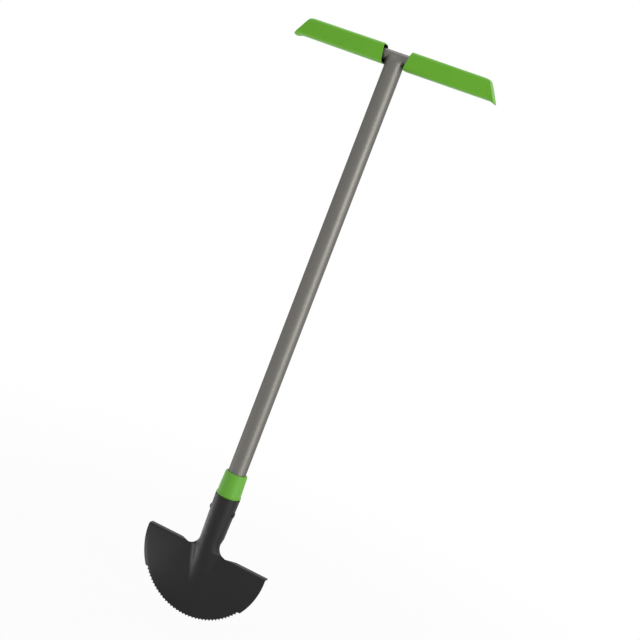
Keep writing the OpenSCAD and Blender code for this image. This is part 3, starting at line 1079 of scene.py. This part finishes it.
@dataclass(frozen=True)
class SoftBox:
    """One soft lamp of the studio."""

    name: str
    place: tuple[float, float, float]
    aim: tuple[float, float, float]
    size: tuple[float, float]
    power: float

    def hang(self) -> None:
        """Hangs the lamp in the scene."""
        lamp = bpy.data.lights.new(self.name, "AREA")
        lamp.shape = "RECTANGLE"
        lamp.size, lamp.size_y = self.size
        lamp.energy = self.power
        holder = bpy.data.objects.new(self.name, lamp)
        place = Vector(self.place)
        holder.location = place
        holder.rotation_euler = (Vector(self.aim) - place).to_track_quat("-Z", "Y").to_euler()
        bpy.context.scene.collection.objects.link(holder)


@dataclass
class Studio:
    """Pale floor, soft light and a camera at the photograph's angle; its sizes are in metres."""

    eye: tuple[float, float, float] = (0.58391, -1.77417, 0.72673)
    target: tuple[float, float, float] = (0.03624, 0.0, 0.51859)
    roll: float = 21.195
    lens: float = 68.5
    sensor: float = 36.0
    clip: tuple[float, float] = (0.01, 200.0)
    ambient: float = 0.92
    floor_size: float = 60.0
    floor_glow: float = 0.95
    glow_radii: tuple[float, float] = (0.25, 1.4)
    paper: float = 0.42
    lamps: list[SoftBox] = field(default_factory=lambda: [
        SoftBox("right_soft_box", (2.07, -0.75, 0.62), (0.0, 0.0, 0.5), (1.3, 1.9), 36.0),
        SoftBox("right_floor_panel", (0.85, -0.3, 0.003), (0.85, -0.3, 1.0), (1.0, 0.4), 3.0),
        SoftBox("left_floor_panel", (-0.36, 0.04, 0.003), (-0.36, 0.04, 1.0), (0.48, 0.36), 2.2),
        SoftBox("top_small_box", (-0.4, 0.25, 1.8), (-0.12, 0.0, 0.93), (0.4, 0.4), 2.2)])

    def seen(self, tree: NodeTree) -> NodeSocket:
        """Adds the nodes that tell whether a ray shows a surface to the camera.

        Args:
            tree: The tree that gets them.

        Returns:
            A socket that is 1 for camera, glossy and transmission rays, and otherwise 0.
        """
        path = add_node(tree, "ShaderNodeLightPath", {})
        mirrored = add_node(tree, "ShaderNodeMath", {
            0: path.outputs["Is Camera Ray"], 1: path.outputs["Is Glossy Ray"]},
            operation="MAXIMUM")
        shown = add_node(tree, "ShaderNodeMath", {
            0: mirrored.outputs["Value"], 1: path.outputs["Is Transmission Ray"]},
            operation="MAXIMUM")
        return shown.outputs["Value"]

    def lay_floor(self) -> None:
        """Lays the floor: white to the camera, and darker where the tool's shadow falls."""
        bm = bmesh.new()
        bmesh.ops.create_grid(bm, x_segments=1, y_segments=1, size=self.floor_size / 2)
        mesh = bpy.data.meshes.new("floor")
        bm.to_mesh(mesh)
        bm.free()
        floor = bpy.data.objects.new("floor", mesh)
        bpy.context.scene.collection.objects.link(floor)
        material = bpy.data.materials.new("white_paper_matt")
        material.use_nodes = True
        tree = material.node_tree
        tree.nodes.clear()
        paper = add_node(tree, "ShaderNodeBsdfDiffuse", {"Color": (*[self.paper] * 3, 1.0)})
        glow = add_node(tree, "ShaderNodeEmission", {
            "Color": (1.0, 1.0, 1.0, 1.0), "Strength": 1.0})
        place = add_node(tree, "ShaderNodeTexCoord", {})
        away = add_node(tree, "ShaderNodeVectorMath", {0: place.outputs["Object"]},
                        operation="LENGTH")
        near, far = self.glow_radii
        share = add_node(tree, "ShaderNodeMapRange", {
            "Value": away.outputs["Value"], "From Min": near, "From Max": far,
            "To Min": self.floor_glow, "To Max": 1.0}, interpolation_type="SMOOTHSTEP")
        shown = add_node(tree, "ShaderNodeMath", {
            0: self.seen(tree), 1: share.outputs["Result"]}, operation="MULTIPLY")
        surface = add_node(tree, "ShaderNodeMixShader", {
            "Fac": shown.outputs["Value"], 1: paper.outputs["BSDF"], 2: glow.outputs["Emission"]})
        add_node(tree, "ShaderNodeOutputMaterial", {"Surface": surface.outputs["Shader"]})
        mesh.materials.append(material)

    def light(self) -> None:
        """Hangs the lamps, and makes the room white to the camera and in reflections."""
        for lamp in self.lamps:
            lamp.hang()
        world = bpy.data.worlds.new("white_room")
        world.use_nodes = True
        tree = world.node_tree
        tree.nodes.clear()
        level = add_node(tree, "ShaderNodeMapRange", {
            "Value": self.seen(tree), "To Min": self.ambient, "To Max": 1.0})
        room = add_node(tree, "ShaderNodeBackground", {
            "Color": (1.0, 1.0, 1.0, 1.0), "Strength": level.outputs["Result"]})
        add_node(tree, "ShaderNodeOutputWorld", {"Surface": room.outputs["Background"]})
        bpy.context.scene.world = world

    def set_camera(self) -> None:
        """Sets up the camera, tilted as the photograph was."""
        lens = bpy.data.cameras.new("camera")
        lens.lens, lens.sensor_width = self.lens, self.sensor
        lens.clip_start, lens.clip_end = self.clip
        camera = bpy.data.objects.new("camera", lens)
        eye = Vector(self.eye)
        back = (eye - Vector(self.target)).normalized()
        right = (-back).cross(Vector((0, 0, 1))).normalized()
        up = back.cross(right)
        turn = math.radians(self.roll)
        tilted = right * math.cos(turn) + up * math.sin(turn)
        upright = up * math.cos(turn) - right * math.sin(turn)
        axes = Matrix((tilted, upright, back)).transposed().to_4x4()
        camera.matrix_world = Matrix.Translation(eye) @ axes
        bpy.context.scene.collection.objects.link(camera)
        bpy.context.scene.camera = camera

    def build(self) -> None:
        """Sets up the whole studio."""
        self.set_camera()
        self.lay_floor()
        self.light()
        bpy.context.scene.view_settings.view_transform = "Standard"
        log.info("studio is lit by %d lamps", len(self.lamps))


def main() -> None:
    """Builds the pieces, dresses the solids that stay, and sets up the studio."""
    logging.basicConfig(level=logging.INFO, format="%(name)s: %(message)s")
    Studio().build()
    PressedHead().build()
    Collar().build()
    HandleWeld().build()
    for side in Side:
        Grip(side).build()
    dress_solid("rivet", BLACK_COAT.material())
    dress_solid("shaft_tube", GREY_PAINT.material(Run.UPRIGHT))
    dress_solid("cross_tube", GREY_PAINT.material(Run.CROSSWISE))


if __name__ == "__main__":
    main()
